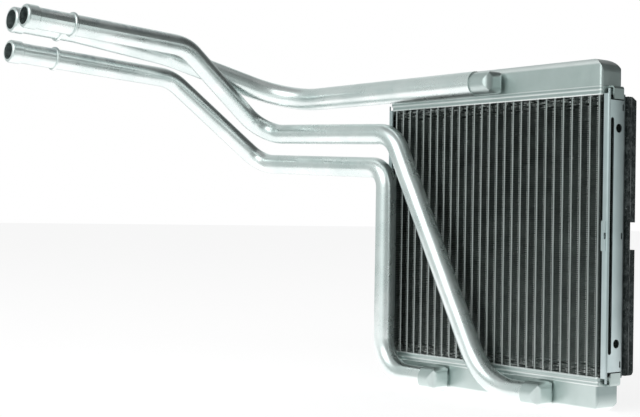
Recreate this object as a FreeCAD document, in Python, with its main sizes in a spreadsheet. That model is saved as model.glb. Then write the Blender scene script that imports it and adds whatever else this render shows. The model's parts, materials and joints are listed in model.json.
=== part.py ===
"""Heater core: a brazed aluminium matrix of flat tubes and folded fins between two pressed tanks.

Frame: millimetres, +Z up. The origin is the middle of the finned block, +X runs along the block
to the plain side and -Y is the face with the hose pipes.
"""
import FreeCAD
import Part
import Sketcher
import math
import os

from FreeCAD import Placement, Rotation, Vector

doc = FreeCAD.newDocument("heater_core")
sheet = doc.addObject("Spreadsheet::Sheet", "sizes")

SIZES = [
    # finned block
    ("TubeCount", 27, "flat tubes in the block"),
    ("TubePitch", 7.75, "from tube to tube"),
    ("TubeThick", 1.8, "across a tube's flat sides"),
    ("TubeDepth", 19.3, "nose to nose of a tube"),
    ("TubeWall", 0.35, "wall of a flat tube"),
    ("FinInset", 0.4, "fin edge behind the tube nose"),
    ("TubeEntry", 2.0, "how far a tube stands into its tank"),
    ("BlockHeight", 188.0, "bare height between the two headers"),
    ("FoldCount", 26, "legs of one folded fin"),
    ("FinThick", 0.12, "sheet of a fin"),
    ("FinEndGap", 0.6, "from a fin's last fold to the header"),
    ("BrazeGap", 0.05, "room for braze between fitted faces"),
    # headers
    ("HeaderSheet", 1.1, "sheet of a header"),
    ("RimOver", 2.15, "rim of a header beyond the tube noses, front and rear"),
    ("HeaderJoggle", 0.6, "step of the rim out from the pan"),
    ("PanHeight", 3.0, "from the pan's outer face to the step"),
    ("HeaderHeight", 6.3, "from the pan's outer face to the rim"),
    ("HeaderCorner", 2.2, "upright corner of the rim"),
    ("RimRound", 0.45, "rounded edges of the rim and its step"),
    ("PanRound", 1.0, "rounded edge round the pan's outer face"),
    ("HookWidth", 10.2, "hook at a header's end"),
    ("HookOffset", -0.3, "hook's middle off the block's middle"),
    ("HookDrop", 8.8, "length of the hook's finger"),
    ("HookBend", 1.9, "outer bend of the hook"),
    ("HookGap", 0.25, "room beside the hook in a side plate's notch"),
    # tanks
    ("TankSheet", 1.1, "sheet of a tank"),
    ("TankEnd", 3.1, "from the last tube's middle to a tank's end"),
    ("TankTop", 25.0, "from the fins to a tank's crown"),
    ("CrownFront", 3.5, "front long edge of a tank's crown"),
    ("CrownRear", 10.0, "rear long edge of a tank's crown"),
    ("TankShoulder", 9.0, "end edges of a tank's crown"),
    ("TankCorner", 2.0, "upright corners of a tank"),
    ("BaffleSheet", 1.5, "dividing plate in the lower tank"),
    ("BafflePlace", 1.5, "dividing plate, tube pitches from the middle"),
    # pipes and their pockets
    ("FeedDiameter", 16.0, "outside of the two lower pipes"),
    ("ReturnDiameter", 18.0, "outside of the upper pipe"),
    ("PipeWall", 1.5, "wall of a pipe"),
    ("PipeClear", 0.95, "upper pipe in front of a tank's face"),
    ("FeedLevel", 16.0, "lower pipe axes beyond the fins"),
    ("ReturnLevel", 14.2, "upper pipe axis beyond the fins"),
    ("PocketWall", 1.1, "sheet of a pipe pocket"),
    ("LowerPocketReach", 14.7, "lower pockets, mouth to tip"),
    ("UpperPocketReach", 18.8, "upper pocket, mouth to tip"),
    ("PocketRound", 4.7, "upright corners of a pocket's tip"),
    ("PocketNose", 6.0, "front corner of a pocket's tip"),
    ("PocketEdge", 2.5, "rear edges of a pocket"),
    ("PocketFlat", 0.2, "half the flat strip along a pocket's front"),
    ("StubWidth", 10.4, "oval stub from a pocket to its tank"),
    ("StubRise", 1.6, "half the straight height of the stub's sides"),
    ("LeftPocket", -50.5, "mouth of the left lower pocket"),
    ("RightPocket", 51.5, "mouth of the right lower pocket"),
    ("UpperPocket", -3.0, "mouth of the upper pocket"),
    ("PipeEntry", 9.0, "length of pipe in or over a pocket"),
    ("NeckStep", 0.55, "upper pocket's side beyond its neck"),
    ("TipLength", 10.0, "swelling at a spigot's tip"),
    ("TipSwell", 0.9, "rise of the tip over the pipe"),
    ("TipRound", 2.0, "rounding of the tip's mouth"),
    ("TipStep", 0.6, "rounding behind the swelling"),
    ("BeadPlace", 40.0, "bead from the tip"),
    ("BeadRise", 1.5, "rise of the bead over the pipe"),
    ("BeadWidth", 3.0, "width of the bead"),
    ("BeadRound", 1.2, "rounding of the bead"),
    ("BeadTail", 2.5, "plain end of the spigot behind the bead"),
    # pipe routes: foot and elbow at the block, turn at the far left, knee before the spigot
    ("LeftFootX", -99.2, "left lower pipe, foot of its riser"),
    ("LeftElbowZ", 49.0, "left lower pipe, top of its riser"),
    ("LeftTurnX", -265.5, "left lower pipe, far turn"),
    ("LeftTurnZ", 56.0, "left lower pipe, far turn"),
    ("LeftKneeX", -287.5, "left lower pipe, knee"),
    ("LeftKneeY", -102.0, "left lower pipe, knee"),
    ("LeftKneeZ", 126.4, "left lower pipe, knee"),
    ("LeftSpigotRun", 152.0, "left lower pipe, knee to tip"),
    ("LeftFootBend", 26.0, "bend radius"),
    ("LeftElbowBend", 16.0, "bend radius"),
    ("LeftTurnBend", 20.0, "bend radius"),
    ("LeftKneeBend", 28.0, "bend radius"),
    ("RightFootX", 9.8, "right lower pipe, foot of its slope"),
    ("RightElbowX", -86.4, "right lower pipe, top of its slope"),
    ("RightElbowY", -25.8, "right lower pipe, top of its slope"),
    ("RightElbowZ", 74.6, "right lower pipe, top of its slope"),
    ("RightTurnX", -248.4, "right lower pipe, far turn"),
    ("RightTurnY", -31.5, "right lower pipe, far turn"),
    ("RightTurnZ", 80.9, "right lower pipe, far turn"),
    ("RightKneeX", -215.1, "right lower pipe, knee"),
    ("RightKneeY", -134.0, "right lower pipe, knee"),
    ("RightKneeZ", 144.3, "right lower pipe, knee"),
    ("RightSpigotRun", 142.4, "right lower pipe, knee to tip"),
    ("RightFootBend", 47.0, "bend radius"),
    ("RightElbowBend", 23.0, "bend radius"),
    ("RightTurnBend", 21.0, "bend radius"),
    ("RightKneeBend", 37.0, "bend radius"),
    ("UpperTurnX", -225.0, "upper pipe, far turn"),
    ("UpperRiseX", -263.9, "upper pipe, end of its rise"),
    ("UpperRiseY", -118.6, "upper pipe, end of its rise"),
    ("UpperRiseZ", 142.7, "upper pipe, end of its rise"),
    ("UpperKneeX", -264.6, "upper pipe, knee"),
    ("UpperKneeY", -206.0, "upper pipe, knee"),
    ("UpperKneeZ", 154.2, "upper pipe, knee"),
    ("UpperSpigotRun", 55.5, "upper pipe, knee to tip"),
    ("UpperTurnBend", 55.0, "bend radius"),
    ("UpperRiseBend", 40.0, "bend radius"),
    ("UpperKneeBend", 40.0, "bend radius"),
    ("SpigotSide", 1.45, "degrees, the spigots turn towards the block"),
    ("SpigotRise", 3.6, "degrees, the spigots point upwards"),
    # side plates
    ("PlateOffset", 9.0, "last tube's middle to a plate's outer face"),
    ("PlateSheet", 1.1, "sheet of a side plate"),
    ("PlateOver", 0.1, "flanges beyond the tube noses, front and rear"),
    ("FlangeWidth", 4.6, "flange over the fins"),
    ("FrontBend", 1.7, "outer bend at the front"),
    ("RearBend", 4.4, "outer bend at the rear"),
    ("PlateOverlap", 0.9, "plate beyond the fins at each end"),
    ("ProngLength", 3.4, "prong beyond the plate's end"),
    ("ProngWidth", 1.3, "prong beside the hook"),
    ("NotchDepth", 4.2, "notch for the hook"),
    ("LongSlotMargin", 15.9, "from the plate's end to the relief slot"),
    ("LongSlotWidth", 3.4, "relief slot across"),
    ("LongSlotPlace", -6.4, "relief slot's middle, front to rear"),
    ("HoleDiameter", 6.0, "fixing holes"),
    ("HoleMargin", 22.9, "from the plate's end to a fixing hole"),
    ("HolePlace", 0.4, "fixing holes, front to rear"),
    ("SmallSlotWidth", 1.3, "locating slots"),
    ("SmallSlotLength", 4.4, "locating slots"),
    ("SmallSlotPlace", 4.6, "locating slots, front to rear"),
    ("SmallSlotMargin", 8.9, "from the plate's end to an end locating slot"),
    ("PadHeight", 20.0, "raised pad at mid height of a flange"),
    ("PadRise", 0.6, "pad beyond the flange"),
    # air seals
    ("SealThick", 9.0, "foam strip, front to rear"),
    ("SealWidth", 9.0, "foam strip, across"),
    ("SealShort", 1.0, "strip's end from the plate's end"),
    ("SealSlant", 4.4, "slanted corner along the thickness"),
    ("SealSlantDrop", 2.4, "slanted corner along the height"),
    ("SealNotchDepth", 5.0, "notch at mid height"),
    ("SealNotchHeight", 18.5, "notch at mid height"),
    ("SealRound", 3.0, "rounded lower corner"),
]

for row, (alias, number, note) in enumerate(SIZES, start=1):
    sheet.set(f"A{row}", note)
    sheet.set(f"B{row}", str(number))
    sheet.setAlias(f"B{row}", alias)
doc.recompute()


class Size:
    """A length with its number and the formula on the sheet that it follows."""

    def __init__(self, number, formula):
        self.number = float(number)
        self.formula = formula

    @staticmethod
    def of(other):
        return other if isinstance(other, Size) else Size(other, repr(other))

    def __add__(self, other):
        other = Size.of(other)
        return Size(self.number + other.number, f"({self.formula} + {other.formula})")

    def __sub__(self, other):
        other = Size.of(other)
        return Size(self.number - other.number, f"({self.formula} - {other.formula})")

    def __mul__(self, other):
        other = Size.of(other)
        return Size(self.number * other.number, f"({self.formula} * {other.formula})")

    def __truediv__(self, other):
        other = Size.of(other)
        return Size(self.number / other.number, f"({self.formula} / {other.formula})")

    def __neg__(self):
        return Size(-self.number, f"(0 - {self.formula})")

    def __float__(self):
        return self.number


def size(alias):
    return Size(getattr(sheet, alias), f"sizes.{alias}")


ZERO = Size(0, "0")
TOUCH = 1e-4
UP, ALONG_X, ALONG_Y = Vector(0, 0, 1), Vector(1, 0, 0), Vector(0, 1, 0)

# Measures that several pieces share.
tube_count = int(sheet.TubeCount)
half_span = size("TubePitch") * (size("TubeCount") - 1) / 2
half_block = size("BlockHeight") / 2
half_depth = size("TubeDepth") / 2
rim_length = half_span + size("TankEnd") + size("BrazeGap") + size("HeaderSheet")
rim_depth = half_depth + size("RimOver")
pan_length = rim_length - size("HeaderJoggle")
pan_depth = rim_depth - size("HeaderJoggle")
rim_top = half_block + size("HeaderHeight")
tank_base = half_block + size("PanHeight") + size("HeaderSheet")
tank_top = half_block + size("TankTop")
tank_length = half_span + size("TankEnd")
tank_depth = rim_depth - size("HeaderSheet") - size("BrazeGap")
plate_face = half_span + size("PlateOffset")
plate_inner = plate_face - size("PlateSheet")
plate_depth = half_depth + size("PlateOver")
plate_end = half_block + size("PlateOverlap")
notch_floor = plate_end - size("NotchDepth")
pipe_axis = -(tank_depth + size("PipeClear") + size("ReturnDiameter") / 2)
spigot_length = size("BeadPlace") + size("BeadWidth") / 2 + size("BeadTail")


def bind(thing, name, length):
    """Set a property and tie it to the sheet."""
    length = Size.of(length)
    setattr(thing, name, length.number)
    thing.setExpression(name, length.formula)


def put(thing, x=ZERO, y=ZERO, z=ZERO, turn=None):
    """Place an object, its position tied to the sheet."""
    places = [Size.of(value) for value in (x, y, z)]
    thing.Placement = Placement(Vector(*[p.number for p in places]), turn or Rotation())
    for axis, place in zip("xyz", places):
        thing.setExpression(f"Placement.Base.{axis}", place.formula)
    return thing


def box(name, low, high):
    """A block between two corners given as sizes."""
    block = doc.addObject("Part::Box", name)
    for side, a, b in zip(("Length", "Width", "Height"), low, high):
        bind(block, side, Size.of(b) - a)
    return put(block, *low)


def cylinder(name, radius, length, start, turn):
    rod = doc.addObject("Part::Cylinder", name)
    bind(rod, "Radius", radius)
    bind(rod, "Height", length)
    return put(rod, *start, turn)


def combine(kind, name, shapes):
    joined = doc.addObject(f"Part::Multi{kind}", name)
    joined.Shapes = shapes
    return joined


def cut(name, base, tool):
    trimmed = doc.addObject("Part::Cut", name)
    trimmed.Base = base
    trimmed.Tool = tool
    return trimmed


def pin_point(sketch, geometry, spot, x, y):
    """Hold one point of a sketch at its place from the sketch's origin."""
    for kind, length in (("DistanceX", x), ("DistanceY", y)):
        length = Size.of(length)
        index = sketch.addConstraint(
            Sketcher.Constraint(kind, -1, 1, geometry, spot, length.number))
        if length.formula != "0":
            sketch.setExpression(f"Constraints[{index}]", length.formula)


def outline(sketch, corners):
    """A closed outline. Each corner is (x, y) or (x, y, bend): the bend rounds that corner."""
    points = [tuple(Size.of(v) for v in corner[:2]) for corner in corners]
    flat = [Vector(p[0].number, p[1].number, 0) for p in points]
    stretches = []
    for i, corner in enumerate(corners):
        if len(corner) == 2:
            stretches.append((points[i], points[i], None))
            continue
        bend = Size.of(corner[2])
        before = flat[i - 1] - flat[i]
        after = flat[(i + 1) % len(flat)] - flat[i]
        arrive = offset(points[i], before, bend)
        leave = offset(points[i], after, bend)
        middle = offset(offset(points[i], before, bend), after, bend)
        left_turn = before.cross(after).z < 0
        stretches.append((arrive, leave, (middle, bend, left_turn)))
    ends = []
    for i, (arrive, leave, arc) in enumerate(stretches):
        if arc:
            ends.append(add_arc(sketch, arrive, leave, *arc))
        following = stretches[(i + 1) % len(stretches)][0]
        line = sketch.addGeometry(Part.LineSegment(flat_point(leave), flat_point(following)))
        ends.append((line, 1, 2, leave))
    for i, (geometry, first, last, start) in enumerate(ends):
        following = ends[(i + 1) % len(ends)]
        sketch.addConstraint(
            Sketcher.Constraint("Coincident", geometry, last, following[0], following[1]))
        pin_point(sketch, geometry, first, *start)


def offset(point, direction, length):
    """A point moved along a level or upright edge of an outline."""
    x, y = point
    if abs(direction.x) > abs(direction.y):
        return (x + length * math.copysign(1, direction.x), y)
    return (x, y + length * math.copysign(1, direction.y))


def flat_point(point):
    return Vector(point[0].number, point[1].number, 0)


def add_arc(sketch, arrive, leave, middle, bend, left_turn):
    start, finish = (arrive, leave) if left_turn else (leave, arrive)
    centre = flat_point(middle)
    angles = []
    for point in (start, finish):
        ray = flat_point(point) - centre
        angles.append(math.atan2(ray.y, ray.x))
    if angles[1] < angles[0]:
        angles[1] += 2 * math.pi
    circle = Part.Circle(centre, UP, bend.number)
    arc = sketch.addGeometry(Part.ArcOfCircle(circle, *angles))
    index = sketch.addConstraint(Sketcher.Constraint("Radius", arc, bend.number))
    sketch.setExpression(f"Constraints[{index}]", bend.formula)
    first, last = (1, 2) if left_turn else (2, 1)
    return (arc, first, last, arrive)


def round_ended(sketch, x, low, high, radius):
    """An upright slot outline with round ends, between two centres on one line."""
    x, low, high, radius = (Size.of(v) for v in (x, low, high, radius))
    arcs = []
    for y, start in ((high, 0.0), (low, math.pi)):
        circle = Part.Circle(Vector(x.number, y.number, 0), UP, radius.number)
        arc = sketch.addGeometry(Part.ArcOfCircle(circle, start, start + math.pi))
        pin_point(sketch, arc, 3, x, y)
        index = sketch.addConstraint(Sketcher.Constraint("Radius", arc, radius.number))
        sketch.setExpression(f"Constraints[{index}]", radius.formula)
        arcs.append(arc)
    for side, (first, second) in ((1, (1, 2)), (-1, (2, 1))):
        edge = x.number + side * radius.number
        line = sketch.addGeometry(
            Part.LineSegment(Vector(edge, high.number, 0), Vector(edge, low.number, 0)))
        sketch.addConstraint(Sketcher.Constraint("Tangent", arcs[0], first, line, 1))
        sketch.addConstraint(Sketcher.Constraint("Tangent", arcs[1], second, line, 2))


def circle(sketch, x, y, radius):
    radius = Size.of(radius)
    where = flat_point((Size.of(x), Size.of(y)))
    ring = sketch.addGeometry(Part.Circle(where, UP, radius.number))
    pin_point(sketch, ring, 3, x, y)
    index = sketch.addConstraint(Sketcher.Constraint("Radius", ring, radius.number))
    sketch.setExpression(f"Constraints[{index}]", radius.formula)


def body(label):
    new = doc.addObject("PartDesign::Body", label)
    new.Label = label
    return new


def sketch_in(owner, name, plane, height=ZERO):
    """A sketch on an origin plane of its body, lifted along that plane's normal."""
    sketch = owner.newObject("Sketcher::SketchObject", name)
    planes = {f.Role: f for f in owner.Origin.OriginFeatures}
    sketch.AttachmentSupport = [(planes[plane], "")]
    sketch.MapMode = "FlatFace"
    height = Size.of(height)
    sketch.AttachmentOffset = Placement(Vector(0, 0, height.number), Rotation())
    sketch.setExpression("AttachmentOffset.Base.z", height.formula)
    return sketch


def pad(owner, name, sketch, length, both_ways=False, backwards=False):
    feature = owner.newObject("PartDesign::Pad", name)
    feature.Profile = sketch
    bind(feature, "Length", length)
    feature.SideType = "Symmetric" if both_ways else "One side"
    feature.Reversed = backwards
    sketch.Visibility = False
    return feature


def pocket(owner, name, sketch, depth, both_ways=False, backwards=False):
    feature = owner.newObject("PartDesign::Pocket", name)
    feature.Profile = sketch
    bind(feature, "Length", depth)
    feature.SideType = "Symmetric" if both_ways else "One side"
    feature.Reversed = backwards
    return feature


def tube(number):
    """A flat tube: a hollow strip with round noses, both ends open into the tanks."""
    flat = body(f"tube_{number + 1:02d}")
    section = sketch_in(flat, f"tube_section_{number + 1:02d}", "XY_Plane")
    radius = size("TubeThick") / 2
    reach = half_depth - radius
    round_ended(section, ZERO, -reach, reach, radius)
    round_ended(section, ZERO, -reach, reach, radius - size("TubeWall"))
    pad(flat, f"tube_length_{number + 1:02d}", section, (half_block + size("TubeEntry")) * 2, True)
    return put(flat, x=size("TubePitch") * number - half_span)


def fin_strip(left, right, front, rear):
    """One folded fin: a zigzag sheet whose creases rest on the walls to its left and right."""
    legs = int(sheet.FoldCount)
    low = -sheet.BlockHeight / 2 + sheet.FinEndGap
    rise = (sheet.BlockHeight - 2 * sheet.FinEndGap) / legs
    walls = (left, right - sheet.FinThick)
    creases = [Vector(walls[i % 2], front, low + rise * i) for i in range(legs + 1)]
    far_side = [crease + Vector(sheet.FinThick, 0, 0) for crease in reversed(creases)]
    edge = Part.makePolygon(creases + far_side + creases[:1])
    return Part.Face(edge).extrude(Vector(0, rear - front, 0))


def fins():
    """All folded fins, one between each pair of tubes and one beside each side plate."""
    half_tube = sheet.TubeThick / 2 + sheet.BrazeGap
    walls = [-plate_inner.number + sheet.BrazeGap]
    for number in range(tube_count):
        middle = sheet.TubePitch * number - half_span.number
        walls += [middle - half_tube, middle + half_tube]
    walls.append(plate_inner.number - sheet.BrazeGap)
    edge = sheet.TubeDepth / 2 - sheet.FinInset
    end_front = sheet.FrontBend - plate_depth.number
    end_rear = plate_depth.number - sheet.RearBend - sheet.BrazeGap
    ends = (0, len(walls) - 2)
    strips = [fin_strip(walls[i], walls[i + 1], end_front if i in ends else -edge,
                        end_rear if i in ends else edge) for i in range(0, len(walls), 2)]
    pack = doc.addObject("Part::Feature", "folded_fins")
    pack.Shape = Part.makeCompound(strips)
    return pack


def header(label, way):
    """A header: a shallow pan with tube slots, a stepped rim and a hook at each end."""
    plate = body(label)
    down = way < 0

    def tray(name, length, depth, low, high, corner, make, backwards):
        face = sketch_in(plate, f"{label}_{name}_outline", "XY_Plane", low * way)
        outline(face, [(-length, -depth, corner), (length, -depth, corner),
                       (length, depth, corner), (-length, depth, corner)])
        return make(plate, f"{label}_{name}", face, high - low, backwards=backwards)

    corner = size("HeaderCorner")
    inner_corner = corner - size("HeaderSheet")
    wall = size("HeaderSheet")
    step = half_block + size("PanHeight")
    tray("pan", pan_length, pan_depth, half_block, step, corner, pad, down)
    tray("rim", rim_length, rim_depth, step, rim_top, corner, pad, down)
    round_edges(plate, f"{label}_rim_rounding", size("RimRound"), (rim_top * way, step * way),
                pan_depth)
    round_edges(plate, f"{label}_pan_rounding", size("PanRound"), (half_block * way,), half_depth)
    for side in (1, -1):
        hook(plate, f"{label}_hook_{'right' if side > 0 else 'left'}", side, way)
    doc.recompute()
    tray("seat", rim_length - wall, rim_depth - wall, tank_base, rim_top,
         inner_corner, pocket, not down)
    tray("well", pan_length - wall, pan_depth - wall, half_block + wall, tank_base,
         inner_corner, pocket, not down)
    slots = sketch_in(plate, f"{label}_slot_outline", "XY_Plane", half_block * way)
    radius = size("TubeThick") / 2 + size("BrazeGap")
    reach = half_depth - size("TubeThick") / 2
    round_ended(slots, -half_span, -reach, reach, radius)
    first = pocket(plate, f"{label}_slot", slots, wall, backwards=not down)
    doc.recompute()
    row = plate.newObject("PartDesign::LinearPattern", f"{label}_slots")
    row.Originals = [first]
    row.Direction = (slots, ["H_Axis"])
    bind(row, "Length", half_span * 2)
    row.Occurrences = tube_count
    row.setExpression("Occurrences", "sizes.TubeCount")
    plate.Tip = row
    return plate


def round_edges(plate, name, radius, levels, reach):
    """Round the edges that lie flat at one of the levels and outside a reach from the middle."""
    doc.recompute()
    source = plate.Tip
    chosen = []
    for index, edge in enumerate(source.Shape.Edges, start=1):
        bounds = edge.BoundBox
        far = max(abs(bounds.YMin), abs(bounds.YMax)) > float(reach) + TOUCH
        for level in levels:
            rise = max(abs(bounds.ZMin - float(level)), abs(bounds.ZMax - float(level)))
            if far and rise < TOUCH:
                chosen.append(f"Edge{index}")
    rounding = plate.newObject("PartDesign::Fillet", name)
    rounding.Base = (source, chosen)
    bind(rounding, "Radius", radius)
    return rounding


def hook(plate, name, side, way):
    """The finger that folds over a side plate's end, cut from the same sheet as the header."""
    wall = size("HeaderSheet")
    root, reach = rim_length - wall / 2, plate_face
    tip = rim_top - size("HookDrop")
    profile = sketch_in(plate, f"{name}_profile", "XZ_Plane",
                        size("HookOffset") - size("HookWidth") / 2)
    bend = size("HookBend")
    outline(profile, [(root * side, rim_top * way),
                      (reach * side, rim_top * way, bend),
                      (reach * side, tip * way),
                      ((reach - wall) * side, tip * way),
                      ((reach - wall) * side, (rim_top - wall) * way, bend - wall),
                      (root * side, (rim_top - wall) * way)])
    pad(plate, name, profile, size("HookWidth"))


def drawn_sketch(name, turn):
    profile = doc.addObject("Sketcher::SketchObject", name)
    profile.Placement = Placement(Vector(), turn)
    return profile


def run(name, profile, length):
    """A straight-sided solid, grown equally to both sides of its profile."""
    solid = doc.addObject("Part::Extrusion", name)
    solid.Base = profile
    solid.DirMode = "Normal"
    solid.Solid = True
    solid.Symmetric = True
    bind(solid, "LengthFwd", length)
    return solid


FRONT_VIEW = Rotation(ALONG_X, 90)
SIDE_VIEW = Rotation(Vector(1, 1, 1), 120)


def tank_form(name, way, inset, base):
    """The pressed tank form: rounded crown, shoulders and corners, drawn in by an inset."""
    length, depth, top = tank_length - inset, tank_depth - inset, tank_top - inset
    brow, nape, shoulder, corner = (
        size(a) - inset for a in ("CrownFront", "CrownRear", "TankShoulder", "TankCorner"))
    across = drawn_sketch(f"{name}_crown", SIDE_VIEW)
    outline(across, [(-depth, base * way), (-depth, top * way, brow),
                     (depth, top * way, nape), (depth, base * way)])
    along = drawn_sketch(f"{name}_shoulders", FRONT_VIEW)
    outline(along, [(-length, base * way), (-length, top * way, shoulder),
                    (length, top * way, shoulder), (length, base * way)])
    plan = drawn_sketch(f"{name}_plan", Rotation())
    outline(plan, [(-length, -depth, corner), (length, -depth, corner),
                   (length, depth, corner), (-length, depth, corner)])
    runs = [run(f"{name}_across", across, length * 2),
            run(f"{name}_along", along, depth * 2),
            run(f"{name}_upright", plan, top * 2)]
    return combine("Common", name, runs)


def loaf(name, mouth, tip, radius, level):
    """A pocket's outside: half round to the front, squarer towards the tank and at its tip."""
    front, rear = pipe_axis - radius, pipe_axis + radius
    low, high = level - radius, level + radius
    cheek, nose, edge = size("PocketRound"), size("PocketNose"), size("PocketEdge")
    brow = radius - size("PocketFlat")
    across = drawn_sketch(f"{name}_across_outline", SIDE_VIEW)
    outline(across, [(front, low, brow), (rear, low, edge), (rear, high, edge),
                     (front, high, brow)])
    along = drawn_sketch(f"{name}_along_outline", FRONT_VIEW)
    outline(along, [(mouth, low), (tip, low, cheek), (tip, high, cheek), (mouth, high)])
    plan = drawn_sketch(f"{name}_plan_outline", Rotation())
    outline(plan, [(mouth, front), (tip, front, nose), (tip, rear, edge), (mouth, rear)])
    runs = [run(f"{name}_across", across, tank_length * 2), run(f"{name}_along", along, -front * 2),
            run(f"{name}_upright", plan, tank_top * 4)]
    return combine("Common", name, runs)


def round_nose(name, start, tip, radius, rounding, level):
    """A lying round nose: it starts flat and ends in a rounded tip."""
    nose = turned(name, [(ZERO, ZERO), (radius, ZERO), (radius, tip - start, rounding),
                         (ZERO, tip - start)])
    return put(nose, start, pipe_axis, level, Rotation(ALONG_Y, ALONG_X))


def stub_form(name, middle, radius, level, back):
    """An upright-oval stub that runs from a pocket's axis back into the tank."""
    rise = size("StubRise")
    backwards = Rotation(ALONG_X, -90)
    length = back - pipe_axis
    ends = [cylinder(f"{name}_{label}", radius, length, (middle, pipe_axis, level + lift),
                     backwards) for label, lift in (("high", rise), ("low", -rise))]
    return ends + [box(f"{name}_middle", (middle - radius, pipe_axis, level - rise),
                       (middle + radius, back, level + rise))]


def tank(label, way, pockets):
    """A pressed tank shell with pipe pockets, each (name, mouth, radius, reach, level, neck)."""
    wall = size("TankSheet")
    shells = [tank_form(f"{label}_outside", way, ZERO, tank_base)]
    hollows = [tank_form(f"{label}_inside", way, wall, tank_base - wall)]
    back = wall - tank_depth
    skin = size("PocketWall")
    rounding = size("PocketRound")
    stub = size("StubWidth") / 2
    for name, mouth, radius, reach, level, neck in pockets:
        tip = mouth + reach
        middle = mouth + reach / 2
        shells.append(loaf(f"{name}_outside", mouth, tip, radius, level))
        shells += stub_form(f"{name}_stub_outside", middle, stub, level, back)
        hollows += stub_form(f"{name}_stub_inside", middle, stub - skin, level, back + skin)
        opening, bore = mouth, radius - skin
        if neck:
            opening, bore = mouth - size("PipeEntry"), neck - skin
            shells.append(cylinder(f"{name}_neck", neck, size("PipeEntry"),
                                   (opening, pipe_axis, level), Rotation(ALONG_Y, 90)))
        hollows.append(round_nose(f"{name}_inside", opening - skin, tip - skin, bore,
                                  rounding - skin, level))
    shell = cut(label, combine("Fuse", f"{label}_shell", shells),
                combine("Fuse", f"{label}_hollow", hollows))
    shell.Label = label
    return shell


def baffle():
    """The plate that parts the lower tank into its two feed chambers."""
    margin = size("TankSheet") + size("BrazeGap")
    floor = half_block + size("HeaderSheet") + size("BrazeGap")
    form = tank_form("baffle_form", -1, margin, floor)
    half = size("BaffleSheet") / 2
    middle = size("TubePitch") * size("BafflePlace")
    slab = box("baffle_slab", (middle - half, -rim_depth, -tank_top),
               (middle + half, rim_depth, -half_block))
    return combine("Common", "lower_tank_baffle", [form, slab])


def route_vector(x, y, z):
    return Vector(*[float(Size.of(v)) for v in (x, y, z)])


def spigot_direction():
    side, rise = math.radians(sheet.SpigotSide), math.radians(sheet.SpigotRise)
    return Vector(math.sin(side) * math.cos(rise), -math.cos(side) * math.cos(rise),
                  math.sin(rise))


def bent_wire(corners, bends):
    """A path of straight runs joined by tangent arcs."""
    edges = []
    here = corners[0]
    for before, corner, after, bend in zip(corners, corners[1:], corners[2:], bends):
        arrive = (before - corner).normalize()
        leave = (after - corner).normalize()
        opening = arrive.getAngle(leave)
        back_off = bend / math.tan(opening / 2)
        start, finish = corner + arrive * back_off, corner + leave * back_off
        bisector = (arrive + leave).normalize()
        middle = corner + bisector * (bend / math.sin(opening / 2) - bend)
        edges.append(Part.LineSegment(here, start).toShape())
        edges.append(Part.Arc(start, middle, finish).toShape())
        here = finish
    edges.append(Part.LineSegment(here, corners[-1]).toShape())
    return Part.Wire(edges)


def swept(name, spine, start, direction, radius):
    """A round bar along the spine."""
    ring = doc.addObject("Part::Circle", f"{name}_ring")
    bind(ring, "Radius", radius)
    ring.Placement = Placement(start, Rotation(UP, direction))
    bar = doc.addObject("Part::Sweep", name)
    bar.Sections = [ring]
    bar.Spine = (spine, [])
    bar.Solid = True
    bar.Frenet = False
    return bar


def turned(name, corners):
    """A turned solid: its profile gives radius and distance along +Y."""
    profile = drawn_sketch(f"{name}_profile", Rotation())
    outline(profile, corners)
    solid = doc.addObject("Part::Revolution", name)
    solid.Source = profile
    solid.Axis = ALONG_Y
    solid.Base = Vector()
    solid.Angle = 360
    solid.Solid = True
    return solid


def spigot(name, radius):
    """The hose end: a swollen rounded tip and a stop bead."""
    bore = radius - size("PipeWall")
    swell = radius + size("TipSwell")
    bead = radius + size("BeadRise")
    near = size("BeadPlace") - size("BeadWidth") / 2
    far = near + size("BeadWidth")
    bead_round = size("BeadRound")
    return turned(name, [(bore, ZERO), (swell, ZERO, size("TipRound")),
                         (swell, size("TipLength"), size("TipStep")),
                         (radius, size("TipLength")), (radius, near),
                         (bead, near, bead_round), (bead, far, bead_round),
                         (radius, far), (radius, spigot_length), (bore, spigot_length)])


def pipe(label, diameter, corners, bends, run_out):
    """A bent pipe from its tank end to its hose spigot. Corners run from the tank outwards."""
    radius = diameter / 2
    knee = corners[-1]
    heading = spigot_direction()
    tip = knee + heading * run_out
    neck = tip - heading * spigot_length.number
    spine = doc.addObject("Part::Feature", f"{label}_route")
    spine.Shape = bent_wire(corners + [neck], bends)
    start, along = corners[0], (corners[1] - corners[0])
    bar = swept(f"{label}_bar", spine, start, along, radius)
    bore = swept(f"{label}_bore", spine, start, along, radius - size("PipeWall"))
    end = spigot(f"{label}_spigot", radius)
    end.Placement = Placement(tip, Rotation(ALONG_Y, -heading))
    return combine("Fuse", label, [cut(f"{label}_wall", bar, bore), end])


feed_level = -(half_block + size("FeedLevel"))
return_level = half_block + size("ReturnLevel")
feed_bore = size("FeedDiameter") / 2 + size("BrazeGap")
neck_radius = size("ReturnDiameter") / 2 - size("PipeWall") - size("BrazeGap")


def left_feed_pipe():
    start = size("LeftPocket") + size("PipeEntry")
    corners = [route_vector(start, pipe_axis, feed_level),
               route_vector(sheet.LeftFootX, pipe_axis, feed_level),
               route_vector(sheet.LeftFootX, pipe_axis, sheet.LeftElbowZ),
               route_vector(sheet.LeftTurnX, pipe_axis, sheet.LeftTurnZ),
               route_vector(sheet.LeftKneeX, sheet.LeftKneeY, sheet.LeftKneeZ)]
    bends = [sheet.LeftFootBend, sheet.LeftElbowBend, sheet.LeftTurnBend, sheet.LeftKneeBend]
    return pipe("left_feed_pipe", size("FeedDiameter"), corners, bends, sheet.LeftSpigotRun)


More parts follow.
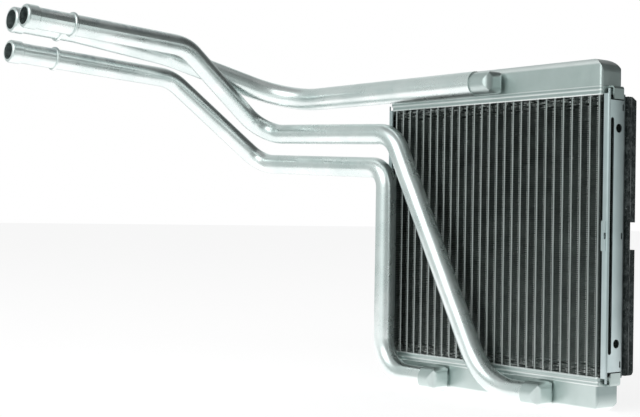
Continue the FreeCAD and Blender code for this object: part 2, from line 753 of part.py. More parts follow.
def right_feed_pipe():
    start = size("RightPocket") + size("PipeEntry")
    corners = [route_vector(start, pipe_axis, feed_level),
               route_vector(sheet.RightFootX, pipe_axis, feed_level),
               route_vector(sheet.RightElbowX, sheet.RightElbowY, sheet.RightElbowZ),
               route_vector(sheet.RightTurnX, sheet.RightTurnY, sheet.RightTurnZ),
               route_vector(sheet.RightKneeX, sheet.RightKneeY, sheet.RightKneeZ)]
    bends = [sheet.RightFootBend, sheet.RightElbowBend, sheet.RightTurnBend,
             sheet.RightKneeBend]
    return pipe("right_feed_pipe", size("FeedDiameter"), corners, bends, sheet.RightSpigotRun)


def return_pipe():
    """The upper pipe: its end slips over the neck of the upper pocket."""
    corners = [route_vector(size("UpperPocket"), pipe_axis, return_level),
               route_vector(sheet.UpperTurnX, pipe_axis, return_level),
               route_vector(sheet.UpperRiseX, sheet.UpperRiseY, sheet.UpperRiseZ),
               route_vector(sheet.UpperKneeX, sheet.UpperKneeY, sheet.UpperKneeZ)]
    bends = [sheet.UpperTurnBend, sheet.UpperRiseBend, sheet.UpperKneeBend]
    return pipe("return_pipe", size("ReturnDiameter"), corners, bends, sheet.UpperSpigotRun)


def side_plate(label, side):
    """A side plate: a channel over the last fin, pressed with slots, holes and end notches."""
    plate = body(label)
    sheet_wall = size("PlateSheet")
    lip = plate_face - size("FlangeWidth")
    front, rear = size("FrontBend"), size("RearBend")
    tall = plate_end + size("ProngLength")
    section = sketch_in(plate, f"{label}_section", "XY_Plane")
    outline(section, [(lip, -plate_depth), (plate_face, -plate_depth, front),
                      (plate_face, plate_depth, rear), (lip, plate_depth),
                      (lip, plate_depth - sheet_wall),
                      (plate_inner, plate_depth - sheet_wall, rear - sheet_wall),
                      (plate_inner, sheet_wall - plate_depth, front - sheet_wall),
                      (lip, sheet_wall - plate_depth)])
    pad(plate, f"{label}_channel", section, tall * 2, True)
    doc.recompute()

    raised = sketch_in(plate, f"{label}_pad_outline", "XY_Plane")
    rise = size("PadRise")
    outline(raised, [(lip - rise, -plate_depth - rise), (plate_face - front, -plate_depth - rise),
                     (plate_face - front, -plate_depth + sheet_wall / 2),
                     (lip - rise, -plate_depth + sheet_wall / 2)])
    pad(plate, f"{label}_pad", raised, size("PadHeight"), True)
    doc.recompute()

    slots = sketch_in(plate, f"{label}_web_slots", "YZ_Plane", plate_face)
    half_long = plate_end - size("LongSlotMargin") - size("LongSlotWidth") / 2
    round_ended(slots, size("LongSlotPlace"), -half_long, half_long, size("LongSlotWidth") / 2)
    half_small = (size("SmallSlotLength") - size("SmallSlotWidth")) / 2
    for place in (-1, 0, 1):
        middle = (plate_end - size("SmallSlotMargin")) * place
        round_ended(slots, size("SmallSlotPlace"), middle - half_small, middle + half_small,
                    size("SmallSlotWidth") / 2)
    pocket(plate, f"{label}_web_slot_cut", slots, rear)
    holes = sketch_in(plate, f"{label}_holes", "YZ_Plane", plate_face)
    for place in (-1, 1):
        circle(holes, size("HolePlace"), (plate_end - size("HoleMargin")) * place,
               size("HoleDiameter") / 2)
    pocket(plate, f"{label}_hole_cut", holes, sheet_wall * 2)

    flange_slot = sketch_in(plate, f"{label}_flange_slot", "XZ_Plane", plate_depth + rise)
    round_ended(flange_slot, lip + size("FlangeWidth") / 2, -half_small, half_small,
                size("SmallSlotWidth") / 2)
    pocket(plate, f"{label}_flange_slot_cut", flange_slot, sheet_wall + rise * 2)
    doc.recompute()

    hook_edge = size("HookWidth") / 2 - size("HookOffset") + size("HookGap")
    prong = size("ProngWidth") - plate_depth
    for way, end in ((1, "top"), (-1, "bottom")):
        trim = sketch_in(plate, f"{label}_{end}_trim", "YZ_Plane", plate_face)
        outline(trim, [(prong, (tall + sheet_wall) * way), (prong, notch_floor * way),
                       (hook_edge, notch_floor * way), (hook_edge, plate_end * way),
                       (plate_depth + sheet_wall, plate_end * way),
                       (plate_depth + sheet_wall, (tall + sheet_wall) * way)])
        pocket(plate, f"{label}_{end}_trim_cut", trim, size("FlangeWidth") + sheet_wall)
        lips = sketch_in(plate, f"{label}_{end}_lips", "YZ_Plane", plate_inner)
        wide = plate_depth + sheet_wall
        outline(lips, [(-wide, plate_end * way), (wide, plate_end * way),
                       (wide, (tall + sheet_wall) * way), (-wide, (tall + sheet_wall) * way)])
        pocket(plate, f"{label}_{end}_lips_cut", lips, size("FlangeWidth"))
        doc.recompute()
    if side < 0:
        plate.Placement = Placement(Vector(), Rotation(ALONG_Y, 180))
    return plate


def air_seal(label, side):
    """A foam strip on a side plate's rear flange, notched at mid height."""
    strip = body(label)
    middle = (plate_face - size("SealWidth") / 2) * side
    profile = sketch_in(strip, f"{label}_profile", "YZ_Plane", middle)
    near = plate_depth
    far = plate_depth + size("SealThick")
    end = plate_end - size("SealShort")
    notch = size("SealNotchHeight") / 2
    floor = far - size("SealNotchDepth")
    outline(profile, [(near, -end), (far, -end, size("SealRound")), (far, -notch),
                      (floor, -notch), (floor, notch), (far, notch),
                      (far, end - size("SealSlantDrop")), (far - size("SealSlant"), end),
                      (near, end)])
    pad(strip, f"{label}_strip", profile, size("SealWidth"), True)
    return strip


parts = [tube(number) for number in range(tube_count)]
parts.append(fins())
parts.append(header("upper_header", 1))
parts.append(header("lower_header", -1))
parts.append(tank("upper_tank", 1, [
    ("upper_pocket", size("UpperPocket") + size("BrazeGap"), neck_radius + size("NeckStep"),
     size("UpperPocketReach"), return_level, neck_radius)]))
parts.append(tank("lower_tank", -1, [
    (name, size(mouth), feed_bore + size("PocketWall"), size("LowerPocketReach"), feed_level, None)
    for name, mouth in (("left_pocket", "LeftPocket"), ("right_pocket", "RightPocket"))]))
parts.append(baffle())
parts += [left_feed_pipe(), right_feed_pipe(), return_pipe()]
parts += [side_plate("right_side_plate", 1), side_plate("left_side_plate", -1)]
parts += [air_seal("right_air_seal", 1), air_seal("left_air_seal", -1)]
doc.recompute()

for item in doc.Objects:
    if {"Invalid", "Error"} & set(item.State):
        raise RuntimeError(f"{item.Name} did not build: {item.State}")
os.makedirs("parts", exist_ok=True)
for part in parts:
    if part.Shape.isNull() or not part.Shape.isValid():
        raise RuntimeError(f"{part.Label} has no valid shape")
for part in parts:
    part.Shape.exportStep(f"parts/{part.Label}.step")
    print(part.Label, len(part.Shape.Solids), round(part.Shape.Volume, 1))
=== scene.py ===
"""Looks, light and camera for a car heater core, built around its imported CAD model.

Lengths are in metres and the frame is the model's: +Z up, the pipes and the camera at -Y.
"""

import json
import math
import random

import bpy
from mathutils import Matrix, Vector


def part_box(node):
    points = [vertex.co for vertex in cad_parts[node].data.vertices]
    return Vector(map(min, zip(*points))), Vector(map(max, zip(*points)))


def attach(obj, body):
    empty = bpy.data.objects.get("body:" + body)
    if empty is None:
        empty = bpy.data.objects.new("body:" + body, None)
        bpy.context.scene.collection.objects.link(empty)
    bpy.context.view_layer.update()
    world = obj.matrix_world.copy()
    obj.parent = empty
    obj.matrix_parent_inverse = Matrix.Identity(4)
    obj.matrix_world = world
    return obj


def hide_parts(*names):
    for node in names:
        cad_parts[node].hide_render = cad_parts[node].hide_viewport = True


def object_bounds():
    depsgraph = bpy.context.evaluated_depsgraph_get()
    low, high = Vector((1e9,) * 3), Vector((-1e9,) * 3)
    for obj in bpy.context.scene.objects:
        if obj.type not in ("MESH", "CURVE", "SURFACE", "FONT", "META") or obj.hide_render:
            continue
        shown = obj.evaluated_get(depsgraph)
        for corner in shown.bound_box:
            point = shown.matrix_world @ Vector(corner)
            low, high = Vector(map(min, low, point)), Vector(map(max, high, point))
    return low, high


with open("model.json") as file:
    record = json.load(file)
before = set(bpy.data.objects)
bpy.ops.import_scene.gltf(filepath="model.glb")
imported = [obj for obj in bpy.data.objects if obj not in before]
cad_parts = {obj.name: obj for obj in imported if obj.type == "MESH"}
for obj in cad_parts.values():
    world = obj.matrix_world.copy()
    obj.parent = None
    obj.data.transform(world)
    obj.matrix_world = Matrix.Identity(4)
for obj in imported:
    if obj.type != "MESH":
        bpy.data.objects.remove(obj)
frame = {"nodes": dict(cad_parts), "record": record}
cad_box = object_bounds()

MM = 0.001
SEED = 7

# folded fins
FOLD_PITCH = 1.36 * MM  # from crest to crest on the same wall
FIN_SHEET = 0.11 * MM
CREST_FLAT = 0.22  # half a crest's flat, as a share of a leg's rise
CREST_DRIFT = 0.10  # spread of a crest's height, as a share of a leg's rise
CRUSHED_DRIFT = 0.6  # the same near a strip's ends
CRUSHED_END = 8.0 * MM
FILLET_RISE = 0.33 * MM  # half the height of the braze in a crest
FILLET_TAPER = 0.6  # height of the braze's inner side, as a share of its outer side
LEFT_FILLET = 0.35 * MM  # reach of the braze from a strip's left wall
RIGHT_FILLET = 0.55 * MM
FILLET_PROUD = 0.30 * MM  # braze in front of the fins' edges
BRAZE_GAP = 0.05 * MM  # from a tube to its fins

# tones of the metals and the foam, as (light, dark)
TUBE_TONES = (0.42, 0.45, 0.44), (0.34, 0.37, 0.36)
HEADER_TONES = (0.63, 0.71, 0.69), (0.56, 0.64, 0.62)
TANK_TONES = (0.61, 0.68, 0.67), (0.54, 0.62, 0.60)
PLATE_TONES = (0.60, 0.68, 0.69), (0.53, 0.61, 0.62)
PIPE_TONES = (0.91, 0.95, 0.94), (0.76, 0.83, 0.82)
# fin tones: the dark one is painted shade, for the shade deep between the folds
FIN_TONES = (0.36, 0.42, 0.40), (0.066, 0.080, 0.075)
FOAM_TONES = (0.17, 0.20, 0.20), (0.010, 0.018, 0.018)

# roughness of the metals, as (low, high)
TUBE_ROUGH = (0.34, 0.46)
HEADER_ROUGH = (0.30, 0.42)
TANK_ROUGH = (0.34, 0.44)
PLATE_ROUGH = (0.28, 0.38)
PIPE_ROUGH = (0.23, 0.36)

# plain tones, for a view that draws no nodes
PIPE_PLAIN = (0.81, 0.86, 0.85)
# the fins' plain tone is dark with painted shade
FIN_PLAIN = (0.20, 0.21, 0.20)
FOAM_PLAIN = (0.02, 0.026, 0.026)

# marks, painted highlights and painted shade on the metals and the foam
# painted highlight on the header's step edges and along the tanks' crowns
HIGHLIGHT_TONE = (0.90, 0.93, 0.92)
# tone of the darker lines between the header's highlight lines
DARK_LINE_TONE = (0.47, 0.54, 0.53)
# painted highlight lines along the header's step edges
HIGHLIGHT_LINES = (0.2 * MM, 0.7 * MM), (2.8 * MM, 0.6 * MM), (5.9 * MM, 0.7 * MM)
DARK_LINES = (1.5 * MM, 0.6 * MM), (4.3 * MM, 0.6 * MM)  # each (from the rim, reach)
# painted shade on the header's end hooks
HOOK_SHADE = (0.35, 0.42, 0.41)
HOOK_SHADE_SHARE = 0.4
CROWN_HIGHLIGHT = 2.2 * MM  # half the painted highlight band along a tank's crown
# painted shade on the lower tank's end
END_SHADE = (0.23, 0.29, 0.285)
END_SHADE_SHARE = 0.85
END_SHADE_SET_IN = (2.2 * MM, 1.0 * MM)  # the painted shade sets in this far from the tank's end
END_SHADE_FADE = (4.0 * MM, 13.0 * MM)  # and fades between these distances from its crown
PIPE_SCUFF = (0.62, 0.69, 0.69)
# smudges which, kept to the pipes' upward faces, are painted dark reflection
PIPE_SMUDGE_AND_REFLECTION = (0.46, 0.54, 0.57)
SMUDGE_AND_REFLECTION_SHARE = 0.75
SMUDGE_AND_REFLECTION_SPAN = (-130 * MM, -170 * MM)  # the smudges and painted dark reflection set in between these places along Y
# painted highlight on the fins' crests beside the tubes; also the tone of pale flakes and specks
FIN_HIGHLIGHT_AND_FLECKS = (0.78, 0.82, 0.80)
FIN_SHADE = (0.01, 0.014, 0.012)  # painted shade on the end strips, deep behind the side plates
SHADE_SHARE = 0.8
CREST_REACH = 1.7 * MM  # width of the painted highlight on the fins beside a tube
CREST_CORE = 0.8  # share of that width in full painted highlight
FLAKED = (86 * MM, 92 * MM)  # the flaked ends set in between these heights
LIT = (-20 * MM, 180 * MM)  # painted light: the fins turn paler to the lower right, between these X - Z
LIT_SHARE = 0.6
FOAM_FLECK = (0.36, 0.40, 0.40)
SEAM_PLACE = 13.6 * MM  # glue seam of the foam along Y

# soft forms of the pressed sheet
SWAY = 0.10 * MM
TANK_DRAFT = 0.08
WEB_HALF = 8.0 * MM
WEB_CROWN = 0.7 * MM

# studio: brightness of what the metal reflects
CLEAR_SKY_RISE = 0.22  # the sky is clear up to this height, and dull from the next
DULL_SKY_RISE = 0.62
DULL_SKY = 0.36
SKY_TINT = (0.97, 1.0, 1.0)
SOFT_GREY = (0.30, 0.30, 0.30)
WHITE = (1.0, 1.0, 1.0)
WALL_LEVELS = (  # azimuth in degrees, brightness below and above the horizon
    (-180, 0.58, 0.58), (-120, 0.60, 0.60), (-98, 0.80, 0.80), (-82, 1.00, 1.00),
    (-68, 0.75, 0.75), (-55, 0.50, 0.48), (-39, 0.40, 0.36), (-18, 0.42, 0.30),
    (4, 0.70, 0.25), (24, 1.00, 0.16), (39, 0.90, 0.12), (50, 0.45, 0.08),
    (65, 0.14, 0.08), (92, 0.08, 0.07), (115, 0.20, 0.20), (140, 0.75, 0.75),
    (165, 0.60, 0.60), (180, 0.58, 0.58))
HORIZON = (0.15, 0.65)  # heights on the wall between which the brightness changes
WALL_TINT = (0.92, 1.0, 0.985)
WALL_RADIUS = 2.8
WALL_TOP = 4.0
WALL_STEPS = 48
TABLE_RADIUS = 0.75  # inner edge of the wall's foot
NEAR_RADIUS = 0.22  # the same over the spans of azimuth given next
NEAR_SPANS = ((-105.0, 15.0), (48.0, 115.0))
FLOOR_PAINT = (0.60, 0.60, 0.60)
FLOOR_DROP = 0.5 * MM
FLOOR_SIDE = 30.0
FLOOR_SEEN = 0.75
FLOOR_MIRRORED = 0.95
LAMP_PLACE = Vector((0.3, -2.05, 1.25))
LAMP_SIZE = (2.3, 1.6)
LAMP_POWER = 15.0

# camera, fitted to the photograph
LENS = 73.1
SENSOR = 36.0
CAMERA_AZIMUTH = math.radians(51.22)
CAMERA_PITCH = math.radians(-0.404)
CAMERA_ROLL = math.radians(-0.871)
CAMERA_SHIFT = Vector((185.1, 18.2, 868.1)) * MM
BLOCK_CORNER = Vector((100.75, -9.65, 0.0)) * MM
CLIP_NEAR, CLIP_FAR = 0.01, 50.0

# sockets of a colour mix, which share their names
MIX_INPUTS = (6, 7)
MIX_RESULT = 2


class Graph:
    """A node tree, with short ways to add and join nodes."""

    def __init__(self, tree):
        self.tree = tree

    def set(self, node, socket, value):
        """Gives a socket its value; a colour of three numbers is made opaque here."""
        target = node.inputs[socket]
        if target.type == "RGBA":
            value = (*value, 1.0)
        target.default_value = value

    def add(self, kind, **values):
        """Adds a node; From_Min=1 sets its socket From Min."""
        node = self.tree.nodes.new(kind)
        for socket, value in values.items():
            self.set(node, socket.replace("_", " "), value)
        return node

    def join(self, out, into):
        self.tree.links.new(out, into)

    def feed(self, node, socket, value):
        """Joins an output to a socket, or sets the socket to a plain value."""
        if isinstance(value, bpy.types.NodeSocket):
            self.join(value, node.inputs[socket])
        else:
            self.set(node, socket, value)

    def maths(self, operation, first, second=0.0):
        node = self.add("ShaderNodeMath")
        node.operation = operation
        self.feed(node, 0, first)
        self.feed(node, 1, second)
        return node.outputs["Value"]

    def magnitude(self, value):
        return self.maths("ABSOLUTE", value)

    def times(self, first, *others):
        for other in others:
            first = self.maths("MULTIPLY", first, other)
        return first

    def spread(self, value, low, high, into_low=0.0, into_high=1.0):
        """Maps a value's range onto another."""
        node = self.add("ShaderNodeMapRange", From_Min=low, From_Max=high, To_Min=into_low,
                        To_Max=into_high)
        self.join(value, node.inputs["Value"])
        return node.outputs["Result"]

    def blend(self, share, first, second):
        """Colour between two colours or coloured outputs, by a share from 0 to 1."""
        node = self.add("ShaderNodeMix")
        node.data_type = "RGBA"
        for socket, colour in zip(MIX_INPUTS, (first, second)):
            self.feed(node, socket, colour)
        self.join(share, node.inputs["Factor"])
        return node.outputs[MIX_RESULT]

    def split(self, vector):
        node = self.add("ShaderNodeSeparateXYZ")
        self.join(vector, node.inputs["Vector"])
        return node.outputs["X"], node.outputs["Y"], node.outputs["Z"]

    def mix_shader(self, share, first, second):
        node = self.add("ShaderNodeMixShader")
        self.join(share, node.inputs["Fac"])
        self.join(first, node.inputs[1])
        self.join(second, node.inputs[2])
        return node.outputs["Shader"]

    def finish(self, kind, shader):
        self.join(shader, self.add(kind).inputs["Surface"])


class Surface(Graph):
    """A principled material with procedural tones and relief."""

    def __init__(self, name, colour, metallic, roughness):
        self.material = bpy.data.materials.new(name)
        self.material.use_nodes = True
        super().__init__(self.material.node_tree)
        self.shader = self.tree.nodes["Principled BSDF"]
        self.set(self.shader, "Base Color", colour)
        self.set(self.shader, "Metallic", metallic)
        self.set(self.shader, "Roughness", roughness)

    def place(self, scale=(1.0, 1.0, 1.0)):
        """Object coordinates, stretched along the axes."""
        source = self.add("ShaderNodeTexCoord")
        mapping = self.add("ShaderNodeMapping", Scale=scale)
        self.join(source.outputs["Object"], mapping.inputs["Vector"])
        return mapping.outputs["Vector"]

    def noise(self, size, stretch=(1.0, 1.0, 1.0), detail=4.0, roughness=0.55):
        """Noise whose grains are about the given size across."""
        node = self.add("ShaderNodeTexNoise", Scale=1.0 / size, Detail=detail,
                        Roughness=roughness)
        self.join(self.place(stretch), node.inputs["Vector"])
        return node.outputs["Fac"]

    def axes(self):
        """The three object coordinates."""
        return self.split(self.place())

    def upward(self):
        """How far the surface looks up: 1 for a flat top, -1 for a flat underside."""
        return self.split(self.add("ShaderNodeNewGeometry").outputs["Normal"])[2]

    def band(self, value, middle, reach, core):
        """1 within the core of a band round a value's middle, and 0 beyond its reach."""
        off = self.magnitude(self.maths("SUBTRACT", value, middle))
        return self.spread(off, reach, core)

    def colour(self, source):
        self.join(source, self.shader.inputs["Base Color"])

    def roughness(self, source):
        self.join(source, self.shader.inputs["Roughness"])

    def bump(self, height, distance):
        """Adds a height to the surface; later calls add to earlier ones."""
        node = self.add("ShaderNodeBump", Strength=1.0, Distance=distance)
        self.join(height, node.inputs["Height"])
        normal = self.shader.inputs["Normal"]
        if normal.is_linked:
            self.join(normal.links[0].from_socket, node.inputs["Normal"])
        self.join(node.outputs["Normal"], normal)


def header_marks(metal, tone):
    """Painted highlights along a header's steps, darker lines between them, and painted shade on
    its end hooks.
    """
    header_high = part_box("upper_header")[1].z
    plate_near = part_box("right_side_plate")[0].x
    x, _, z = metal.axes()
    height = metal.magnitude(z)
    inward = metal.maths("LESS_THAN", metal.magnitude(x), plate_near)
    # painted highlight lines along the step edges, and darker lines between them
    for lines, line_tone in ((HIGHLIGHT_LINES, HIGHLIGHT_TONE), (DARK_LINES, DARK_LINE_TONE)):
        for from_rim, reach in lines:
            line = metal.band(height, header_high - from_rim, reach, reach / 2)
            tone = metal.blend(metal.times(line, inward), tone, line_tone)
    # painted shade on the hooks beyond the side plates
    outward = metal.maths("SUBTRACT", 1.0, inward)
    return metal.blend(metal.times(outward, HOOK_SHADE_SHARE), tone, HOOK_SHADE)


def tank_marks(metal, tone):
    """A painted highlight band along a tank's crown, and painted shade on the lower tank's end.
    """
    tank_end, _, tank_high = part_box("upper_tank")[1]
    x, _, z = metal.axes()
    # painted highlight band along the crown
    crown = metal.band(metal.magnitude(z), tank_high - CROWN_HIGHLIGHT, CROWN_HIGHLIGHT,
                       CROWN_HIGHLIGHT / 2)
    tone = metal.blend(crown, tone, HIGHLIGHT_TONE)
    # painted shade on the lower tank's end, fading away from the crown
    beyond = metal.spread(x, *(tank_end - place for place in END_SHADE_SET_IN))
    fading = metal.spread(z, *(place - tank_high for place in END_SHADE_FADE), 0.0, END_SHADE_SHARE)
    below = metal.maths("LESS_THAN", z, 0.0)
    return metal.blend(metal.times(beyond, fading, below), tone, END_SHADE)


def pressed_metal(name, tones, rough, marks=None, sway=SWAY, draft=0.0, crown=0.0):
    """Brazed sheet aluminium: cloudy tone, fine grain and soft waves."""
    light, dark = tones
    metal = Surface(name, light, 1.0, rough[1])
    cloud = metal.spread(metal.noise(22 * MM, detail=6.0), 0.3, 0.7)
    tone = metal.blend(cloud, dark, light)
    metal.colour(marks(metal, tone) if marks else tone)
    patches = metal.noise(9 * MM, detail=5.0)
    metal.roughness(metal.spread(patches, 0.3, 0.7, *rough))
    metal.bump(metal.noise(0.7 * MM, detail=3.0), 0.008 * MM)
    metal.bump(metal.noise(20 * MM, detail=1.0), sway)
    if draft:
        metal.bump(metal.magnitude(metal.axes()[2]), -draft)
    if crown:
        across = metal.maths("DIVIDE", metal.axes()[1], WEB_HALF)
        metal.bump(metal.times(across, across), -crown)
    return metal


def drawn_pipe():
    """Drawn aluminium pipe: semi-bright, with soft dents, scuffs, and smudges near the spigots
    kept to the upward faces as painted dark reflection.
    """
    light, dark = PIPE_TONES
    metal = Surface("pipe_metal", PIPE_PLAIN, 1.0, 0.28)
    cloud = metal.spread(metal.noise(35 * MM, detail=4.0), 0.35, 0.65)
    tone = metal.blend(cloud, dark, light)
    scuffs = metal.spread(metal.noise(2.2 * MM, detail=5.0, roughness=0.7), 0.60, 0.72)
    tone = metal.blend(scuffs, tone, PIPE_SCUFF)
    # smudges near the spigots, kept to the upward faces as painted dark reflection
    near_spigots = metal.spread(metal.axes()[1], *SMUDGE_AND_REFLECTION_SPAN)
    smudges = metal.spread(metal.noise(11 * MM, detail=6.0, roughness=0.7), 0.46, 0.62)
    on_top = metal.spread(metal.upward(), 0.15, 0.6, 0.0, SMUDGE_AND_REFLECTION_SHARE)
    metal.colour(metal.blend(metal.times(near_spigots, smudges, on_top), tone, PIPE_SMUDGE_AND_REFLECTION))
    dull = metal.noise(16 * MM, detail=5.0, roughness=0.6)
    metal.roughness(metal.spread(dull, 0.3, 0.7, *PIPE_ROUGH))
    metal.bump(metal.noise(1.2 * MM, detail=2.0), 0.004 * MM)
    metal.bump(metal.noise(24 * MM, detail=1.0), 0.35 * MM)
    return metal


def tube_spans():
    """The boxes of the flat tubes, in their order along X."""
    return [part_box(name) for name in sorted(frame["nodes"]) if name.startswith("tube_")]


def tube_pitch_and_start():
    """Spacing of the flat tubes along X, and the first tube's middle."""
    middles = [(low.x + high.x) / 2 for low, high in tube_spans()]
    return (middles[-1] - middles[0]) / (len(middles) - 1), middles[0]


def fin_metal():
    """Thin louvred fin sheet, nearly black with painted shade and paler to the lower right with
    painted light; painted highlights on the crests beside the tubes, pale flakes and specks at
    its ends, and painted shade on the end strips.
    """
    light, dark = FIN_TONES
    metal = Surface("fin_metal", FIN_PLAIN, 1.0, 0.45)
    cloud = metal.spread(metal.noise(12 * MM, detail=5.0), 0.3, 0.7)
    x, _, z = metal.axes()
    # painted light: the fins grow paler to the lower right
    lit = metal.spread(metal.maths("SUBTRACT", x, z), *LIT)
    paleness = metal.maths("ADD", metal.times(cloud, 1.0 - LIT_SHARE),
                           metal.times(lit, LIT_SHARE))
    # painted shade: the fin sheet's tone is nearly black
    tone = metal.blend(paleness, dark, light)
    pitch, start = tube_pitch_and_start()
    from_start = metal.maths("SUBTRACT", x, start)
    to_tube = metal.maths("SUBTRACT", pitch, metal.maths("FLOORED_MODULO", from_start, pitch))
    inside = metal.maths("LESS_THAN", metal.magnitude(x), CREST_REACH - start)
    # painted highlight on the crests beside the tubes
    crest = metal.times(inside, metal.spread(to_tube, CREST_REACH, CREST_REACH * CREST_CORE))
    near_end = metal.spread(metal.magnitude(z), *FLAKED)
    flakes = metal.spread(metal.noise(2.2 * MM, detail=3.0, roughness=0.7), 0.50, 0.56)
    specks = metal.spread(metal.noise(3 * MM, detail=3.0, roughness=0.7), 0.66, 0.72)
    marks = metal.maths("MAXIMUM", specks, metal.times(near_end, flakes))
    tone = metal.blend(metal.maths("MAXIMUM", crest, marks), tone, FIN_HIGHLIGHT_AND_FLECKS)
    # painted shade on the end strips outside the tubes
    outside = metal.maths("SUBTRACT", 1.0, inside)
    metal.colour(metal.blend(metal.times(outside, SHADE_SHARE), tone, FIN_SHADE))
    louvres = metal.add("ShaderNodeTexWave", Scale=1.0 / (4.5 * MM))
    louvres.bands_direction = "Y"
    metal.join(metal.place(), louvres.inputs["Vector"])
    metal.bump(louvres.outputs["Fac"], 0.2 * MM)
    return metal


def foam():
    """Open-celled dark foam: coarse cells, a broken glue seam and dusty flecks."""
    light, dark = FOAM_TONES
    rubber = Surface("seal_foam", FOAM_PLAIN, 0.0, 0.9)
    cells = rubber.add("ShaderNodeTexVoronoi", Scale=1.0 / (1.4 * MM))
    rubber.join(rubber.place(), cells.inputs["Vector"])
    patches = rubber.spread(rubber.noise(4 * MM, detail=5.0, roughness=0.7), 0.45, 0.75)
    skin = rubber.blend(patches, dark, light)
    line = rubber.band(rubber.axes()[1], SEAM_PLACE, 0.45 * MM, 0.2 * MM)
    dashes = rubber.noise(16 * MM, stretch=(0.1, 0.1, 1.0), detail=2.0)
    seam = rubber.times(line, rubber.spread(dashes, 0.42, 0.55))
    flecks = rubber.spread(rubber.noise(1.8 * MM, detail=2.0), 0.66, 0.72)
    bright = rubber.maths("MAXIMUM", seam, rubber.times(flecks, 0.7))
    rubber.colour(rubber.blend(bright, skin, FOAM_FLECK))
    rubber.bump(cells.outputs["Distance"], 0.6 * MM)
    rubber.bump(rubber.noise(6 * MM), 1.2 * MM)
    return rubber


def new_object(name, vertices, faces, material):
    mesh = bpy.data.meshes.new(name)
    mesh.from_pydata(vertices, [], faces)
    mesh.validate()
    mesh.update()
    mesh.materials.append(material)
    piece = bpy.data.objects.new(name, mesh)
    bpy.context.scene.collection.objects.link(piece)
    return piece


def fold_line(left, right, low, high, luck):
    """The folded sheet's middle line, seen from the front: flats on the walls, legs across."""
    legs = round((high - low) / FOLD_PITCH) * 2
    rise = (high - low) / legs
    flat = rise * CREST_FLAT
    line = []
    for number in range(legs + 1):
        wall = (left, right)[number % 2]
        middle = low + rise * number
        inward = FIN_SHEET * (0.5 if number % 2 == 0 else -0.5)
        crushed = min(middle - low, high - middle) < CRUSHED_END
        drift = luck.gauss(0.0, rise * (CRUSHED_DRIFT if crushed else CREST_DRIFT))
        for place in (-flat, flat):
            height = min(max(middle + place + drift, low), high)
            line.append((wall + inward, height))
    return line


def add_fillet(vertices, faces, foot, head, left, right, near, far):
    """The braze that fills the inside of one crest, along its whole depth."""
    tip = foot[0] + (LEFT_FILLET if foot[0] < (left + right) / 2 else -RIGHT_FILLET)
    middle = (foot[1] + head[1]) / 2
    start = len(vertices)
    for x, rise in ((foot[0], -FILLET_RISE), (foot[0], FILLET_RISE),
                    (tip, FILLET_RISE * FILLET_TAPER), (tip, -FILLET_RISE * FILLET_TAPER)):
        vertices += [(x, near - FILLET_PROUD, middle + rise), (x, far, middle + rise)]
    a, b, c, d = (start + 2 * number for number in range(4))
    faces += [(a, d, c, b), (b, c, c + 1, b + 1), (c, d, d + 1, c + 1), (d, a, a + 1, d + 1)]


def fin_mesh(columns, low, high, luck):
    """Vertices and faces of folded strips, each between a pair of walls."""
    vertices, faces = [], []
    for left, right, near, far in columns:
        line = fold_line(left, right, low, high, luck)
        start = len(vertices)
        for x, z in line:
            for y in (near, far):
                for side in (-0.5, 0.5):
                    vertices.append((x, y, z + side * FIN_SHEET))
        for number in range(len(line) - 1):
            a = start + number * 4
            b = a + 4
            faces += [(a, a + 2, b + 2, b), (a + 1, b + 1, b + 3, a + 3),
                      (a, b, b + 1, a + 1), (a + 2, a + 3, b + 3, b + 2)]
        end = start + (len(line) - 1) * 4
        faces += [(start, start + 1, start + 3, start + 2), (end, end + 2, end + 3, end + 1)]
        for number in range(0, len(line) - 1, 2):
            add_fillet(vertices, faces, line[number], line[number + 1], left, right, near, far)
    return vertices, faces


def build_fins(material):
    """Fine fins at their true pitch, between the tubes and beside the plates."""
    luck = random.Random(SEED)
    pack_low, pack_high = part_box("folded_fins")
    walls = [pack_low.x] + [edge for low, high in tube_spans() for edge in
                            (low.x - BRAZE_GAP, high.x + BRAZE_GAP)] + [pack_high.x]
    columns = [[walls[i], walls[i + 1], pack_low.y, pack_high.y]
               for i in range(0, len(walls), 2)]
    points = [v.co for v in frame["nodes"]["folded_fins"].data.vertices]
    for column in (columns[0], columns[-1]):
        depths = [p.y for p in points if column[0] <= p.x <= column[1]]
        column[2:] = min(depths), max(depths)
    half = len(columns) // 2
    for number, group in enumerate((columns[:half], columns[half:])):
        vertices, faces = fin_mesh(group, pack_low.z, pack_high.z, luck)
        fins = new_object(f"fine_fins_{number + 1}", vertices, faces, material)
        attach(fins, "root")
        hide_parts("folded_fins")


def paint_nodes(materials):
    """Gives each CAD node the material of its slot in the record."""
    for name, node in frame["nodes"].items():
        slot = next(s["material_slot"] for s in frame["record"]["subparts"] if s["node"] == name)
        node.data.materials.clear()
        node.data.materials.append(materials[slot].material)


def bare_graph(owner):
    """An empty node tree on a new world or material."""
    owner.use_nodes = True
    owner.node_tree.nodes.clear()
    return Graph(owner.node_tree)


